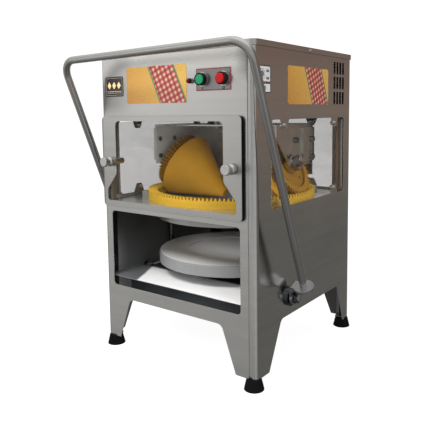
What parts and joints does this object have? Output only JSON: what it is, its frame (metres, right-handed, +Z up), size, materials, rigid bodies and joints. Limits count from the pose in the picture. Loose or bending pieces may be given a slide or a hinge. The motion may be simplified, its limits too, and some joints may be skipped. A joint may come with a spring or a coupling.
{
  "type": "pizza dough roller",
  "caption": "Free-standing stainless pizza dough roller: conical rollers turn on a crown gear in a windowed chamber, and a U-shaped pull handle lifts the round dough plate to them.",
  "frame": {"origin": "centre of the bounding box on the floor, under the rubber feet", "axes": "+Z up; the front, with the guard and buttons, faces -Y; +X is to the right when facing the front"},
  "size_m": [0.6218, 0.6094, 0.782],
  "materials": {
    "steel": "brushed",
    "bright_steel": "turned",
    "yellow_plastic": "satin",
    "bronze": "turned",
    "clear_plastic": "clear",
    "black_rubber": "matte",
    "black_plastic": "satin",
    "green_plastic": "gloss",
    "red_plastic": "gloss",
    "amber_film": "satin",
    "pale_film": "satin",
    "plate_alloy": "turned",
    "painted_frame": "satin",
    "motor_paint": "painted"
  },
  "bodies": {
    "frame": {"front_panel": "steel", "side_panel_left": "steel", "side_panel_right": "steel", "rear_panel": "steel", "top_lid": "steel", "corner_posts": "steel", "rubber_feet": "black_rubber", "chamber_ceiling": "steel", "mid_shelf": "steel", "shelf_collar": "steel", "floor_tray": "steel", "window_panes": "clear_plastic", "cabinet_fasteners": "bright_steel", "crown_ring": "yellow_plastic", "ring_fixings": "bright_steel", "spindle_bearing": "painted_frame", "gearbox": "motor_paint", "drive_motor": "motor_paint", "control_box": "black_plastic", "cable_gland": "black_plastic", "guard_catches": "black_plastic", "button_plate": "steel", "control_bodies": "black_plastic", "lamp_lens": "red_plastic", "front_plaque_dark": "black_plastic", "front_plaque_amber": "amber_film", "side_plaque_amber": "amber_film", "side_plaques_pale": "pale_film", "shaft_bushes": "bright_steel", "guide_columns": "bright_steel"},
    "carrier": {"roller_yoke": "bright_steel", "yoke_stiffeners": "bright_steel", "flanged_spindle": "bright_steel", "carrier_fasteners": "bright_steel", "cone_axles": "bright_steel"},
    "cone_left": {"cone_roller_left": "yellow_plastic", "cone_gear_left": "yellow_plastic", "cone_bushes_left": "bronze", "gear_screws_left": "bright_steel"},
    "cone_right": {"cone_roller_right": "yellow_plastic", "cone_gear_right": "yellow_plastic", "cone_bushes_right": "bronze", "gear_screws_right": "bright_steel"},
    "guard": {"guard_plate": "steel", "guard_seal": "black_rubber", "guard_pane": "clear_plastic", "guard_knobs": "bright_steel", "guard_pins": "bright_steel"},
    "start_button": {"start_button_cap": "green_plastic"},
    "stop_button": {"stop_button_cap": "red_plastic"},
    "handle": {"handle_tube": "steel", "handle_lugs": "steel", "cross_shaft": "bright_steel", "shaft_nuts": "bright_steel", "lift_arms": "bright_steel"},
    "rollers": {"lift_rollers": "black_plastic"},
    "lift": {"lift_frame": "painted_frame", "lift_guides": "bronze", "plate_support": "painted_frame", "dough_plate": "plate_alloy"}
  },
  "joints": [
    {"name": "carrier_spin", "type": "hinge", "parent": "frame", "child": "carrier", "pos_m": [0, 0.041, 0.595], "axis": [0, 0, 1], "continuous": true},
    {"name": "cone_left_spin", "type": "hinge", "parent": "carrier", "child": "cone_left", "pos_m": [0, 0.041, 0.391], "axis": [-0.8796, -0.0384, 0.4741], "continuous": true},
    {"name": "cone_right_spin", "type": "hinge", "parent": "carrier", "child": "cone_right", "pos_m": [0, 0.041, 0.391], "axis": [0.8796, 0.0384, 0.4741], "continuous": true},
    {"name": "guard_pull", "type": "slide", "parent": "frame", "child": "guard", "axis": [0, -1, 0], "range_m": [0, 0.06]},
    {"name": "start_press", "type": "slide", "parent": "frame", "child": "start_button", "axis": [0, 1, 0], "range_m": [0, 0.004], "stiffness_N_per_m": 800, "springref_m": -0.0015},
    {"name": "stop_press", "type": "slide", "parent": "frame", "child": "stop_button", "axis": [0, 1, 0], "range_m": [0, 0.004], "stiffness_N_per_m": 800, "springref_m": -0.0015},
    {"name": "handle_swing", "type": "hinge", "parent": "frame", "child": "handle", "pos_m": [0, -0.05693, 0.18195], "axis": [1, 0, 0], "range_deg": [0, 34.8]},
    {"name": "roller_spin", "type": "hinge", "parent": "handle", "child": "rollers", "pos_m": [0, 0.17489, 0.16167], "axis": [1, 0, 0], "continuous": true},
    {"name": "plate_lift", "type": "slide", "parent": "frame", "child": "lift", "axis": [0, 0, 1], "range_m": [0, 0.136]}
  ],
  "couplings": [
    {"joint": "cone_left_spin", "follows": "carrier_spin", "ratio": -2.76},
    {"joint": "cone_right_spin", "follows": "carrier_spin", "ratio": -2.76},
    {"joint": "plate_lift", "follows": "handle_swing", "m_per_rad": 0.22383}
  ]
}
